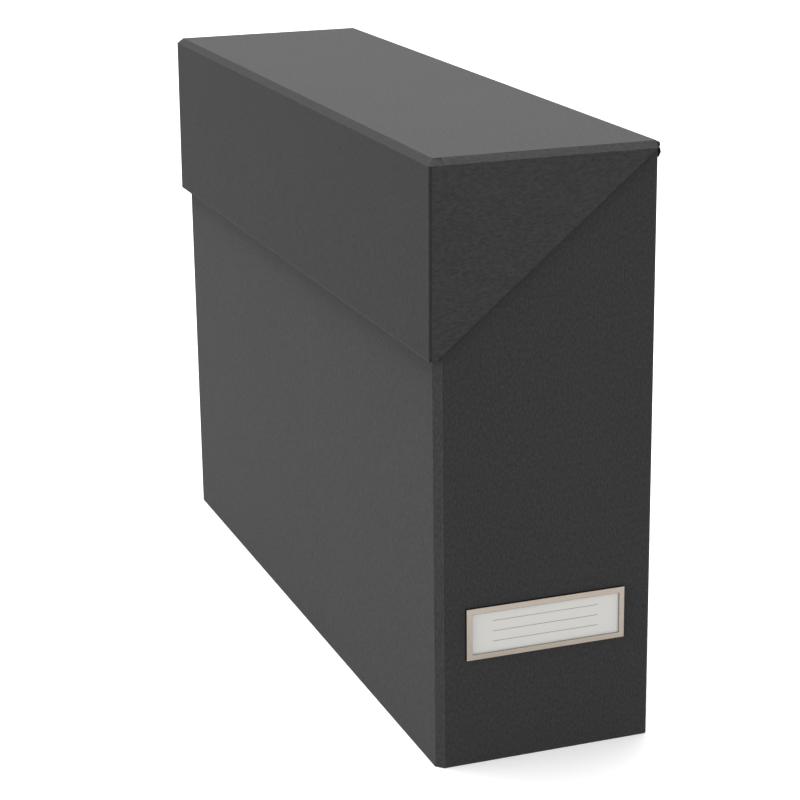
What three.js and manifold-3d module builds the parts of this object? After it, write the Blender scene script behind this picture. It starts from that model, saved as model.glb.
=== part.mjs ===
// A desk box file: a tall, narrow box of paper-covered greyboard for hanging files.
//
// One strip of board is folded round into four walls, and a base panel is set in between them.
// The lid is one folded blank: a top panel, a deep flap down the long front side and two
// three-cornered cheeks that slope from the flap up to the hinge. A strip of covering paper
// joins the lid to the back wall. Two folded steel rails inside carry the file hooks, and a
// pressed metal frame on one short wall holds a name card that slides in from above.
//
// Millimetres, +Z up. X runs across the box, from the flap (-X) to the hinge (+X). Y runs
// along it, from the name card (-Y) to the plain end (+Y). The origin is under the middle.

import * as THREE from "three";
import { mergeVertices } from "three/addons/utils/BufferGeometryUtils.js";
import Module from "manifold-3d";

const wasm = await Module();
wasm.setup();

// Driving dimensions of the box
const bodyWidth = 93.5;
const bodyLength = 357;
const overallHeight = 250;
const board = 2.4; // greyboard with its paper on both faces
const wallBevel = 3; // flat that a scored fold leaves at the walls' upright corners
const seatGap = 0.3; // between pieces that lie on each other

// Driving dimensions of the lid
const lidGap = 0.35; // between a wall and the flap or cheek outside it
const rimGap = 0.4; // between the walls' top edge and the lid's underside
const flapDepth = 78; // from the top of the lid to the flap's lower edge
const lidBevel = 2.6; // flat that a scored fold leaves along the lid's top edges
const flapSplay = 0.6; // how far the flap's lower edge stands out past its fold
const lidSetBack = 1.4; // from the back wall's face in to the lid's back edge

// Driving dimensions of the paper hinge
const hingePaper = 0.3;
const hingeHeight = 22; // down the back wall from the rim
const hingeTuck = 0.2; // from the rim down to the strip's top edge
const pleatHeight = 4.2; // slack pleat that lets the lid swing right over
const pleatDepth = 0.5;

// Driving dimensions of the hook rails
const railSteel = 0.8;
const railInset = 2.6; // from a long wall to the rail's end
const railBend = 1.2; // radius at the middle of the sheet
const railFlangeDrop = 3.5; // from the rim to the flange's top edge
const railLipDrop = 9; // from the rim to the lip's top edge, where the hooks sit
const railLipHeight = 10;
const hookSlot = 9.4; // clear width between flange and lip

// Driving dimensions of the rail rivets
const rivetShank = 3; // diameter
const rivetHead = 4.6; // diameter
const rivetDome = 1.2;
const rivetDrop = 6.5; // from the rim to the rivet's middle
const rivetEndInset = 14; // from the rail's end to the rivet's middle
const rivetSkin = 0.4; // board left outside the rivet's blind hole

// Driving dimensions of the name card's frame
const frameWidth = 69;
const frameHeight = 22;
const frameBorder = 2.4;
const frameDepth = 1.9; // how far it stands out from the wall
const frameSheet = 0.6;
const frameEdge = 0.2; // softened edge of the pressed sheet
const frameCentreHeight = 57;
const prongWidth = 2.4;
const prongReach = 4.5; // how far a prong lies along the inside of the wall
const prongSpread = 9; // between the two prongs of one side

// Driving dimensions of the name card
const cardSheet = 0.4;
const cardShortfall = 1; // from the frame's top edge down to the card's

// Places that follow from the sizes above
const flapReach = lidGap + board + flapSplay; // past the front wall
const hingeReach = seatGap + hingePaper + pleatDepth; // past the back wall
const bodyCentreX = (flapReach - hingeReach) / 2;
const wallFrontX = bodyCentreX - bodyWidth / 2;
const wallBackX = bodyCentreX + bodyWidth / 2;
const wallEndY = bodyLength / 2;
const insideWidth = bodyWidth - 2 * board;
const insideLength = bodyLength - 2 * board;
const rimZ = overallHeight - board - rimGap;
const lidUnderZ = overallHeight - board;
const flapBottomZ = overallHeight - flapDepth;
const through = 1; // how far a cutter runs past what it cuts

// Axes that a flat outline is laid in before it is pushed out into a solid
const AXIS = {
  x: new THREE.Vector3(1, 0, 0),
  y: new THREE.Vector3(0, 1, 0),
  z: new THREE.Vector3(0, 0, 1),
};

/** A closed outline from [u, v] pairs. */
function outline(points) {
  return new THREE.Shape(points.map(([u, v]) => new THREE.Vector2(u, v)));
}

/** Pushes an outline in X and Z out along Y, from fromY to toY. */
function alongY(shape, fromY, toY, options = {}) {
  const geometry = new THREE.ExtrudeGeometry(shape, {
    depth: toY - fromY,
    bevelEnabled: false,
    ...options,
  });
  const lay = new THREE.Matrix4().makeBasis(AXIS.x, AXIS.z, AXIS.y.clone().negate());
  return geometry.applyMatrix4(lay).translate(0, toY, 0);
}

/** Pushes an outline in Y and Z out along X, from fromX to toX. */
function alongX(shape, fromX, toX) {
  const geometry = new THREE.ExtrudeGeometry(shape, {
    depth: toX - fromX,
    bevelEnabled: false,
  });
  const lay = new THREE.Matrix4().makeBasis(AXIS.y, AXIS.z, AXIS.x);
  return geometry.applyMatrix4(lay).translate(fromX, 0, 0);
}

/** A box between two corners. */
function boxBetween([x0, y0, z0], [x1, y1, z1]) {
  return new THREE.BoxGeometry(x1 - x0, y1 - y0, z1 - z0).translate(
    (x0 + x1) / 2,
    (y0 + y1) / 2,
    (z0 + z1) / 2,
  );
}

/** A closed geometry as a solid that can be cut and joined. */
function solid(geometry) {
  const bare = geometry.index ? geometry.toNonIndexed() : geometry.clone();
  bare.deleteAttribute("normal");
  bare.deleteAttribute("uv");
  const merged = mergeVertices(bare, 1e-4);
  return new wasm.Manifold(
    new wasm.Mesh({
      numProp: 3,
      vertProperties: merged.attributes.position.array,
      triVerts: new Uint32Array(merged.index.array),
    }),
  );
}

/** A solid as a flat-shaded geometry. */
function geometryOf(made) {
  const mesh = made.getMesh();
  const places = new Float32Array(mesh.triVerts.length * 3);
  mesh.triVerts.forEach((vertex, corner) => {
    const first = vertex * mesh.numProp;
    places.set(mesh.vertProperties.subarray(first, first + 3), corner * 3);
  });
  const geometry = new THREE.BufferGeometry();
  geometry.setAttribute("position", new THREE.BufferAttribute(places, 3));
  geometry.computeVertexNormals();
  return geometry;
}

/** Joins geometries into one solid, then cuts others away from it. */
function build(joined, cuts = []) {
  let made = joined.map(solid).reduce((whole, piece) => whole.add(piece));
  for (const cut of cuts) made = made.subtract(solid(cut));
  return geometryOf(made);
}

/** The outline of a sheet of even thickness that follows a line of [u, v] points. */
function sheetOutline(line, thickness) {
  const points = line.map(([u, v]) => new THREE.Vector2(u, v));
  const sides = [1, -1].map((side) =>
    points.map((point, i) => {
      const before = points[Math.max(i - 1, 0)];
      const after = points[Math.min(i + 1, points.length - 1)];
      const run = after.clone().sub(before).normalize();
      const across = new THREE.Vector2(-run.y, run.x);
      return point.clone().addScaledVector(across, (side * thickness) / 2);
    }),
  );
  return new THREE.Shape([...sides[1], ...sides[0].reverse()]);
}

/** A line through [u, v] corners whose inner corners are rounded to a bend radius. */
function bentLine(corners, radius, steps = 4) {
  const line = [corners[0]];
  for (let i = 1; i < corners.length - 1; i += 1) {
    const [before, corner, after] = [corners[i - 1], corners[i], corners[i + 1]].map(
      ([u, v]) => new THREE.Vector2(u, v),
    );
    const back = before.clone().sub(corner).normalize();
    const on = after.clone().sub(corner).normalize();
    const half = back.angleTo(on) / 2;
    const centre = back
      .clone()
      .add(on)
      .normalize()
      .multiplyScalar(radius / Math.sin(half))
      .add(corner);
    const reach = radius / Math.tan(half);
    const from = corner.clone().addScaledVector(back, reach).sub(centre);
    const to = corner.clone().addScaledVector(on, reach).sub(centre);
    const sweep = Math.atan2(from.cross(to), from.dot(to));
    for (let step = 0; step <= steps; step += 1) {
      const turned = from.clone().rotateAround(new THREE.Vector2(), (sweep * step) / steps);
      line.push(turned.add(centre).toArray());
    }
  }
  line.push(corners.at(-1));
  return line;
}

/** A pin along Y between two planes. */
function pinAlongY(diameter, x, fromY, toY, z, sides = 16) {
  return new THREE.CylinderGeometry(diameter / 2, diameter / 2, toY - fromY, sides).translate(
    x,
    (fromY + toY) / 2,
    z,
  );
}

// Materials
const coverPaper = new THREE.MeshStandardMaterial({ color: 0x4b4b4c, roughness: 0.75, metalness: 0 });
const hingeCover = new THREE.MeshStandardMaterial({ color: 0x444445, roughness: 0.8, metalness: 0 });
const nickel = new THREE.MeshStandardMaterial({ color: 0xb6aa9b, roughness: 0.35, metalness: 1 });
const railPlate = new THREE.MeshStandardMaterial({ color: 0xb9babb, roughness: 0.3, metalness: 1 });
const cardStock = new THREE.MeshStandardMaterial({ color: 0xdcdad5, roughness: 0.7, metalness: 0 });

// The name card's frame: where its prongs go through the wall, used by wall and frame
const frameBottomZ = frameCentreHeight - frameHeight / 2;
const frameTopZ = frameCentreHeight + frameHeight / 2;
const frameBackY = -wallEndY - seatGap;
const frameFrontY = -wallEndY - frameDepth;
const prongPlaces = [-1, 1].flatMap((side) =>
  [-1, 1].map((level) => ({
    side,
    x: bodyCentreX + side * (frameWidth / 2 - frameEdge - frameSheet / 2),
    z: frameCentreHeight + (level * prongSpread) / 2,
  })),
);

// The rails' rivets, used by walls, rails and rivets; end is -1 at the name card, 1 at the plain end
const railHalf = insideWidth / 2 - railInset;
const rivetX = railHalf - rivetEndInset;
const rivetZ = rimZ - rivetDrop;
const rivetHole = rivetShank + 2 * seatGap;
const rivetHoleDepth = board - rivetSkin;

/** The Y at a distance inwards from the inner face of the wall at one end. */
const inwards = (end, distance) => end * (wallEndY - board - distance);

/** A span in Y as [low, high], whichever end it is measured from. */
const span = (a, b) => [Math.min(a, b), Math.max(a, b)];

/** The four walls: one strip of board folded at three corners and joined at the fourth. */
function makeWalls() {
  const [w, l, c] = [bodyWidth / 2, bodyLength / 2, wallBevel];
  const plan = outline([
    [w - c, -l],
    [w, -l + c],
    [w, l - c],
    [w - c, l],
    [-w + c, l],
    [-w, l - c],
    [-w, -l + c],
    [-w + c, -l],
  ]);
  const block = new THREE.ExtrudeGeometry(plan, { depth: rimZ, bevelEnabled: false });
  block.translate(bodyCentreX, 0, 0);
  const inside = boxBetween(
    [bodyCentreX - insideWidth / 2, -insideLength / 2, -through],
    [bodyCentreX + insideWidth / 2, insideLength / 2, rimZ + through],
  );

  const slits = prongPlaces.map(({ x, z }) =>
    boxBetween(
      [x - frameSheet / 2 - seatGap, -wallEndY - through, z - prongWidth / 2 - seatGap],
      [x + frameSheet / 2 + seatGap, -wallEndY + board + through, z + prongWidth / 2 + seatGap],
    ),
  );
  const rivetHoles = [-1, 1].flatMap((end) =>
    [-1, 1].map((side) => {
      const [low, high] = span(inwards(end, through), inwards(end, -rivetHoleDepth));
      return pinAlongY(rivetHole, bodyCentreX + side * rivetX, low, high, rivetZ);
    }),
  );
  return build([block], [inside, ...slits, ...rivetHoles]);
}

/** The base panel, set in flush between the walls. */
function makeBase() {
  const [w, l] = [insideWidth / 2 - seatGap, insideLength / 2 - seatGap];
  return boxBetween([bodyCentreX - w, -l, 0], [bodyCentreX + w, l, board]);
}

/** The lid: top panel, splayed front flap and sloping cheeks, bevelled where the blank is folded. */
function makeLid() {
  const frontX = wallFrontX - lidGap - board;
  const backX = wallBackX - lidSetBack;
  const endY = wallEndY + lidGap + board;
  const block = alongY(
    outline([
      [backX, overallHeight],
      [frontX + lidBevel, overallHeight],
      [frontX, overallHeight - lidBevel],
      [frontX - flapSplay, flapBottomZ],
      [frontX - flapSplay + board, flapBottomZ],
      [backX, lidUnderZ],
    ]),
    -endY,
    endY,
  );
  const hollow = alongY(
    outline([
      [backX + through, lidUnderZ],
      [frontX + board, lidUnderZ],
      [frontX - flapSplay + board, flapBottomZ],
      [frontX - flapSplay + board, flapBottomZ - through],
      [backX + through, flapBottomZ - through],
    ]),
    -endY + board,
    endY - board,
  );
  const bevels = [-1, 1].map((end) =>
    alongX(
      outline([
        [end * endY, overallHeight - lidBevel],
        [end * (endY + through), overallHeight - lidBevel],
        [end * (endY + through), overallHeight + through],
        [end * (endY - lidBevel - through), overallHeight + through],
      ]),
      frontX - flapSplay - through,
      backX + through,
    ),
  );
  return build([block], [hollow, ...bevels]);
}

/** The hinge: a strip of covering paper on the back wall, pleated just under the lid's edge. */
function makeHinge() {
  const x = wallBackX + seatGap + hingePaper / 2;
  const topZ = rimZ - hingeTuck;
  const pleatSteps = 12;
  const pleat = Array.from({ length: pleatSteps + 1 }, (_, i) => {
    const share = i / pleatSteps;
    const bulge = (pleatDepth * (1 - Math.cos(2 * Math.PI * share))) / 2;
    return [x + bulge, topZ - pleatHeight * (1 - share)];
  });
  const line = [[x, rimZ - hingeHeight], ...pleat];
  const endY = wallEndY - wallBevel;
  return alongY(sheetOutline(line, hingePaper), -endY, endY);
}

/** The name card's frame: a pressed border, open at the top, with four prongs through the wall. */
function makeFrame() {
  const [w, h] = [frameWidth / 2, frameHeight / 2];
  const [wi, hi] = [w - frameBorder, h - frameBorder];
  const e = frameEdge;
  const border = outline([[w - e, h - e], [e - w, h - e], [e - w, e - h], [w - e, e - h]]);
  const window = [[wi + e, hi + e], [-wi - e, hi + e], [-wi - e, -hi - e], [wi + e, -hi - e]];
  border.holes.push(new THREE.Path(window.map(([x, z]) => new THREE.Vector2(x, z))));
  const face = alongY(border, frameFrontY + e, frameFrontY + frameSheet - e, {
    bevelEnabled: true,
    bevelThickness: e,
    bevelSize: e,
    bevelSegments: 2,
  }).translate(bodyCentreX, 0, frameCentreHeight);

  const insetX = w - e;
  const sideWalls = [-1, 1].map((side) => {
    const [low, high] = span(side * insetX, side * (insetX - frameSheet));
    return boxBetween(
      [bodyCentreX + low, frameFrontY + frameSheet / 2, frameBottomZ + e],
      [bodyCentreX + high, frameBackY, frameTopZ - e],
    );
  });
  const floorWall = boxBetween(
    [bodyCentreX - insetX, frameFrontY + frameSheet / 2, frameBottomZ + e],
    [bodyCentreX + insetX, frameBackY, frameBottomZ + e + frameSheet],
  );
  const clinchY = -wallEndY + board + seatGap;
  const prongs = prongPlaces.flatMap(({ side, x, z }) => {
    const [low, high] = span(x + (side * frameSheet) / 2, x + side * (frameSheet / 2 - prongReach));
    const [bottom, top] = [z - prongWidth / 2, z + prongWidth / 2];
    return [
      boxBetween(
        [x - frameSheet / 2, frameBackY - frameSheet, bottom],
        [x + frameSheet / 2, clinchY + frameSheet, top],
      ),
      boxBetween([low, clinchY, bottom], [high, clinchY + frameSheet, top]),
    ];
  });
  return build([face, ...sideWalls, floorWall, ...prongs]);
}

/** The name card, standing on the frame's lower wall behind its border. */
function makeCard() {
  const halfWidth = frameWidth / 2 - frameEdge - frameSheet - seatGap;
  const bottomZ = frameBottomZ + frameEdge + frameSheet + seatGap;
  return boxBetween(
    [bodyCentreX - halfWidth, frameBackY - cardSheet, bottomZ],
    [bodyCentreX + halfWidth, frameBackY, frameTopZ - cardShortfall],
  );
}

/** A hook rail: flange on the short wall, ledge, and a lip that the file hooks sit on. */
function makeRail(end) {
  const flangeY = inwards(end, seatGap + railSteel / 2);
  const lipY = inwards(end, seatGap + railSteel * 1.5 + hookSlot);
  const ledgeZ = rimZ - railLipDrop - railLipHeight + railSteel / 2;
  const line = bentLine(
    [
      [flangeY, rimZ - railFlangeDrop],
      [flangeY, ledgeZ],
      [lipY, ledgeZ],
      [lipY, rimZ - railLipDrop],
    ],
    railBend,
  );
  const section = sheetOutline(line, railSteel);
  const strip = alongX(section, bodyCentreX - railHalf, bodyCentreX + railHalf);
  const [low, high] = span(inwards(end, 0), inwards(end, seatGap + railSteel + hookSlot / 2));
  const holes = [-1, 1].map((side) =>
    pinAlongY(rivetHole, bodyCentreX + side * rivetX, low, high, rivetZ),
  );
  return build([strip], holes);
}

/** A rivet with its domed head inside the box and its shank in the board's blind hole. */
function makeRivet(end, side) {
  const headSeat = 2 * seatGap + railSteel;
  const shankLength = headSeat + rivetHoleDepth - seatGap;
  const rimHeight = rivetDome / 3;
  const domeSteps = 5;
  const dome = Array.from({ length: domeSteps + 1 }, (_, i) => {
    const turn = (Math.PI / 2) * (i / domeSteps);
    return new THREE.Vector2(
      (rivetHead / 2) * Math.cos(turn),
      rimHeight + (rivetDome - rimHeight) * Math.sin(turn),
    );
  });
  dome[domeSteps].x = 0;
  const profile = [
    new THREE.Vector2(0, -shankLength),
    new THREE.Vector2(rivetShank / 2, -shankLength),
    new THREE.Vector2(rivetShank / 2, 0),
    new THREE.Vector2(rivetHead / 2, 0),
    ...dome,
  ];
  const pin = new THREE.LatheGeometry(profile, 16);
  if (end > 0) pin.rotateX(Math.PI);
  pin.translate(bodyCentreX + side * rivetX, inwards(end, headSeat), rivetZ);
  return pin;
}

const boxFile = new THREE.Group();
boxFile.name = "box_file";

/** Adds one named piece to the box file. */
function add(name, geometry, material) {
  const mesh = new THREE.Mesh(geometry, material);
  mesh.name = name;
  boxFile.add(mesh);
}

add("body_walls", makeWalls(), coverPaper);
add("base_panel", makeBase(), coverPaper);
add("lid", makeLid(), coverPaper);
add("hinge_strip", makeHinge(), hingeCover);
add("label_frame", makeFrame(), nickel);
add("label_card", makeCard(), cardStock);
for (const [end, place] of [[-1, "near"], [1, "far"]]) {
  add(`hook_rail_${place}`, makeRail(end), railPlate);
  add(`rivet_${place}_left`, makeRivet(end, -1), railPlate);
  add(`rivet_${place}_right`, makeRivet(end, 1), railPlate);
}

export default boxFile;
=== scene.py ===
"""A desk box file, dressed: paper-covered board, paper hinge, framed name card and hook rails.

Everything is in metres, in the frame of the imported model: X runs across the box from the flap to
the hinge, Y along it from the name card to the plain end, and Z up.
"""

import logging
import math
from collections.abc import Callable, Iterator
from contextlib import contextmanager
from dataclasses import dataclass
from enum import Enum

import bmesh
import bpy
from mathutils import Matrix, Vector


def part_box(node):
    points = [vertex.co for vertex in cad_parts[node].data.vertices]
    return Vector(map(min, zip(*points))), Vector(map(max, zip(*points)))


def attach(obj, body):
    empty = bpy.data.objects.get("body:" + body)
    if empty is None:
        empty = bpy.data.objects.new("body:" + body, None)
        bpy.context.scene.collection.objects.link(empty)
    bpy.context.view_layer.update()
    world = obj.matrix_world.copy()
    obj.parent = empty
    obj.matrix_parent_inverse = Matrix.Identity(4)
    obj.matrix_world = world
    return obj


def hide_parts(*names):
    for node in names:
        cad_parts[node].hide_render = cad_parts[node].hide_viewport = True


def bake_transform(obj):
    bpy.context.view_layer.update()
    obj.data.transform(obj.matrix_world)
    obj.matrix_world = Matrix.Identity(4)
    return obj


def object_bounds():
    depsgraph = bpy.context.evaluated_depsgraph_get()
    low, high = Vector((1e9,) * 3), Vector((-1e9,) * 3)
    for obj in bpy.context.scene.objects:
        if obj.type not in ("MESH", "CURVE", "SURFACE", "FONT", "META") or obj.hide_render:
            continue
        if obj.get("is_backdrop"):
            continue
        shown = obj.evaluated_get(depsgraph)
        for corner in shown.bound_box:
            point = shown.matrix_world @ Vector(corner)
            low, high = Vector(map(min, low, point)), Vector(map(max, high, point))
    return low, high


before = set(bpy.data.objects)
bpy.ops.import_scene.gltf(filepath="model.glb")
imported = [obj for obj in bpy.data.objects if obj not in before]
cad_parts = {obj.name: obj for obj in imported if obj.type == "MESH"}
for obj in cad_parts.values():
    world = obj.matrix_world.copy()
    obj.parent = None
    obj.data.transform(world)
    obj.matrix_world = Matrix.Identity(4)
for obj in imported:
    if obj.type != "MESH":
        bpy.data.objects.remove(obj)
cad_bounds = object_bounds()

LOG = logging.getLogger("box_file")
MM = 0.001

BOARD = 2.4 * MM
WALL_BEVEL = 3.0 * MM
LID_BEVEL = 2.6 * MM
FLAP_SPLAY = 0.6 * MM
EDGE_RADIUS = 0.45 * MM
PAPER = 0.3 * MM


class Body(Enum):
    """The two bodies that the lid's hinge joins."""

    BOX = "body"
    LID = "lid"


class End(Enum):
    """The two short ends of the box, by the side of the middle they are on."""

    NEAR = -1
    FAR = 1

    @property
    def word(self) -> str:
        """The end's name in lower case."""
        return self.name.lower()


# Modelling moves


def clear_selection() -> None:
    """Leaves edit mode and deselects every object."""
    if bpy.context.mode != "OBJECT":
        bpy.ops.object.mode_set(mode="OBJECT")
    bpy.ops.object.select_all(action="DESELECT")


def choose(piece: bpy.types.Object) -> None:
    """Makes a piece the only selected object and the active one.

    Args:
        piece: The object to work on.
    """
    clear_selection()
    piece.select_set(True)
    bpy.context.view_layer.objects.active = piece


@contextmanager
def editing(piece: bpy.types.Object, mode: str = "FACE") -> Iterator[None]:
    """Opens a piece in edit mode with nothing selected, and leaves it again at the end.

    Args:
        piece: The object to edit.
        mode: What is picked: "VERT", "EDGE" or "FACE".
    """
    choose(piece)
    bpy.ops.object.mode_set(mode="EDIT")
    bpy.ops.mesh.select_mode(type=mode)
    bpy.ops.mesh.select_all(action="DESELECT")
    yield
    bpy.ops.object.mode_set(mode="OBJECT")


def pick(piece: bpy.types.Object, mode: str, wanted: Callable[[object], bool]) -> None:
    """Selects what passes a test in the piece that is being edited, and nothing else.

    Args:
        piece: The object in edit mode.
        mode: What is picked: "VERT", "EDGE" or "FACE".
        wanted: The test, which is given each vertex, edge or face.
    """
    bpy.ops.mesh.select_mode(type=mode)
    bpy.ops.mesh.select_all(action="DESELECT")
    cage = bmesh.from_edit_mesh(piece.data)
    for part in {"VERT": cage.verts, "EDGE": cage.edges, "FACE": cage.faces}[mode]:
        if wanted(part):
            part.select_set(True)
    cage.select_flush_mode()
    bmesh.update_edit_mesh(piece.data)


def edge_at(test: Callable[[Vector], bool]) -> Callable[[object], bool]:
    """A test for edges whose two ends both pass a test of place."""
    return lambda edge: all(test(corner.co) for corner in edge.verts)


def edge_stands(edge: object) -> bool:
    """Whether an edge is upright."""
    one, other = (corner.co for corner in edge.verts)
    return near(one.x, other.x) and near(one.y, other.y)


def facing(axis: str, sign: int, least: float = 0.9) -> Callable[[object], bool]:
    """A test for faces that look along an axis, or against it where the sign is -1."""
    return lambda face: getattr(face.normal, axis) * sign > least


def near(value: float, place: float, reach: float = 0.05 * MM) -> bool:
    """Whether two measures are the same, apart from rounding."""
    return abs(value - place) < reach


def settle(piece: bpy.types.Object) -> None:
    """Moves a piece's place, turn and scale into its mesh."""
    choose(piece)
    bpy.ops.object.transform_apply(location=True, rotation=True, scale=True)


def block(name: str, low: Vector, high: Vector) -> bpy.types.Object:
    """Adds a block between two corners.

    Args:
        name: The piece's name.
        low: Its lowest corner.
        high: Its highest corner.

    Returns:
        The new object, at the origin.
    """
    clear_selection()
    bpy.ops.mesh.primitive_cube_add(size=1.0, location=(low + high) / 2)
    piece = bpy.context.object
    piece.name = piece.data.name = name
    piece.scale = high - low
    settle(piece)
    return piece


def modify(piece: bpy.types.Object, kind: str, **settings: object) -> None:
    """Adds one modifier to a piece and applies it.

    Args:
        piece: The object to change.
        kind: The modifier's type.
        **settings: The modifier's own settings.
    """
    choose(piece)
    bpy.ops.object.modifier_add(type=kind)
    modifier = piece.modifiers[-1]
    for key, value in settings.items():
        setattr(modifier, key, value)
    bpy.ops.object.modifier_apply(modifier=modifier.name)


def thicken(piece: bpy.types.Object, thickness: float, side: float = -1.0) -> None:
    """Gives an open shell its thickness, inwards for a side of -1, both ways for 0, outwards for 1."""
    modify(piece, "SOLIDIFY", thickness=thickness, offset=side, use_even_offset=True)


def round_edges(piece: bpy.types.Object, radius: float, segments: int = 3, above: float = 30.0) -> None:
    """Rounds a piece's edges and marks the rounded strips to be lightened: partly real wear, partly a painted
    highlight.

    Args:
        piece: The object to round.
        radius: How far from the edge the rounding starts.
        segments: The facets across one rounding.
        above: The least angle of an edge that is rounded, in degrees.
    """
    piece.data.materials.append(None)
    piece.data.materials.append(None)
    modify(
        piece,
        "BEVEL",
        width=radius,
        segments=segments,
        limit_method="ANGLE",
        angle_limit=math.radians(above),
        material=1,
    )
    # The mark lightens the rounded strips: real rubbing of the paper, and a painted highlight where the rounding
    # catches the light.
    wear = piece.data.attributes.new("edge_wear", "FLOAT", "FACE")
    wear.data.foreach_set("value", [float(face.material_index) for face in piece.data.polygons])
    piece.data.polygons.foreach_set("material_index", [0] * len(piece.data.polygons))
    piece.data.materials.clear()


def soften(piece: bpy.types.Object, radius: float, segments: int = 3, above: float = 30.0) -> None:
    """Rounds a piece's edges as round_edges does, and smooths its shading."""
    round_edges(piece, radius, segments, above)
    smooth(piece)


def mark(piece: bpy.types.Object, name: str, rules: list[tuple[Callable[[object], bool], float]]) -> None:
    """Writes a number on a piece's faces, for its material to read.

    Args:
        piece: The object to mark.
        name: The attribute's name.
        rules: Tests of a face, each with the number that its faces get; the last that fits counts.
    """
    marks = piece.data.attributes.get(name) or piece.data.attributes.new(name, "FLOAT", "FACE")
    for face in piece.data.polygons:
        for test, value in rules:
            if test(face):
                marks.data[face.index].value = value


def press_line(
    piece: bpy.types.Object,
    wanted: Callable[[object], bool],
    point: Vector,
    across: Vector,
    width: float,
    push: Vector,
) -> None:
    """Presses a V-shaped line into the flat faces that pass a test.

    Args:
        piece: The object to press.
        wanted: The test for the faces that the line crosses.
        point: A point on the line.
        across: The direction across the line.
        width: The line's width.
        push: How far, and which way, its middle moves.
    """
    across = across.normalized()
    with editing(piece):
        for offset in (-0.5, 0.5, 0.0):
            pick(piece, "FACE", wanted)
            bpy.ops.mesh.bisect(plane_co=point + across * offset * width, plane_no=across, threshold=1e-7)
        on_line = lambda v: near((v.co - point).dot(across), 0, 1e-6) and any(wanted(f) for f in v.link_faces)
        pick(piece, "VERT", on_line)
        bpy.ops.transform.translate(value=push)


def smooth(piece: bpy.types.Object) -> None:
    """Shades a piece smooth, with its flat faces left flat."""
    choose(piece)
    bpy.ops.object.shade_smooth()
    modify(piece, "WEIGHTED_NORMAL", weight=100, keep_sharp=False)


def rounded(corners: list[tuple[float, float]], radius: float, steps: int = 6) -> list[Vector]:
    """A line through corners, with its inner corners rounded.

    Args:
        corners: The (x, z) corners in order.
        radius: The radius of the rounding.
        steps: The facets of one rounded corner.

    Returns:
        The points of the line.
    """
    points = [Vector(corner) for corner in corners]
    line = [points[0]]
    for before, corner, after in zip(points, points[1:], points[2:]):
        back, on = (before - corner).normalized(), (after - corner).normalized()
        half = back.angle(on) / 2
        centre = corner + (back + on).normalized() * radius / math.sin(half)
        start = corner + back * radius / math.tan(half) - centre
        stop = corner + on * radius / math.tan(half) - centre
        sweep = start.angle_signed(stop)
        for step in range(steps + 1):
            turned = start.copy()
            turned.rotate(Matrix.Rotation(-sweep * step / steps, 2))
            line.append(centre + turned)
    return [*line, points[-1]]


def drawn_sheet(
    name: str, line: list[Vector], start: Vector, run: Vector, thickness: float, rows: int = 1
) -> bpy.types.Object:
    """Draws one edge out along a line, and thickens the sheet that it leaves.

    Args:
        name: The piece's name.
        line: The points of the line; their first number goes across the run and the second up.
        start: Where the edge starts, with the line's origin at (0, 0).
        run: The edge's direction and length: along X or along Y.
        thickness: The sheet's thickness, half to each side of the line.
        rows: The number of strips along the edge.

    Returns:
        The new object.
    """
    across = Vector((0, 1, 0)) if run.x else Vector((1, 0, 0))
    places = [across * point.x + Vector((0, 0, point.y)) for point in line]
    clear_selection()
    bpy.ops.mesh.primitive_plane_add(size=1.0)
    piece = bpy.context.object
    piece.name = piece.data.name = name
    with editing(piece, "VERT"):
        pick(piece, "VERT", lambda corner: corner.co.x > 0)
        bpy.ops.mesh.delete(type="VERT")
        pick(piece, "VERT", lambda corner: corner.co.y > 0)
        bpy.ops.transform.translate(value=start + places[0] + run - Vector((-0.5, 0.5, 0)))
        pick(piece, "VERT", lambda corner: near(corner.co.y, -0.5) and near(corner.co.x, -0.5))
        bpy.ops.transform.translate(value=start + places[0] - Vector((-0.5, -0.5, 0)))
        pick(piece, "EDGE", lambda edge: True)
        if rows > 1:
            bpy.ops.mesh.subdivide(number_cuts=rows - 1)
        for here, there in zip(places, places[1:]):
            bpy.ops.mesh.extrude_edges_move(TRANSFORM_OT_translate={"value": there - here})
        bpy.ops.mesh.select_all(action="SELECT")
        bpy.ops.mesh.normals_make_consistent(inside=False)
    thicken(piece, thickness, 0.0)
    return piece


def joined(name: str, pieces: list[bpy.types.Object]) -> bpy.types.Object:
    """Joins pieces into one object.

    Args:
        name: The joined object's name.
        pieces: The objects to join; the first keeps its mesh.

    Returns:
        The joined object.
    """
    choose(pieces[0])
    for piece in pieces[1:]:
        piece.select_set(True)
    bpy.ops.object.join()
    pieces[0].name = pieces[0].data.name = name
    return pieces[0]


# Finishes


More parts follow.
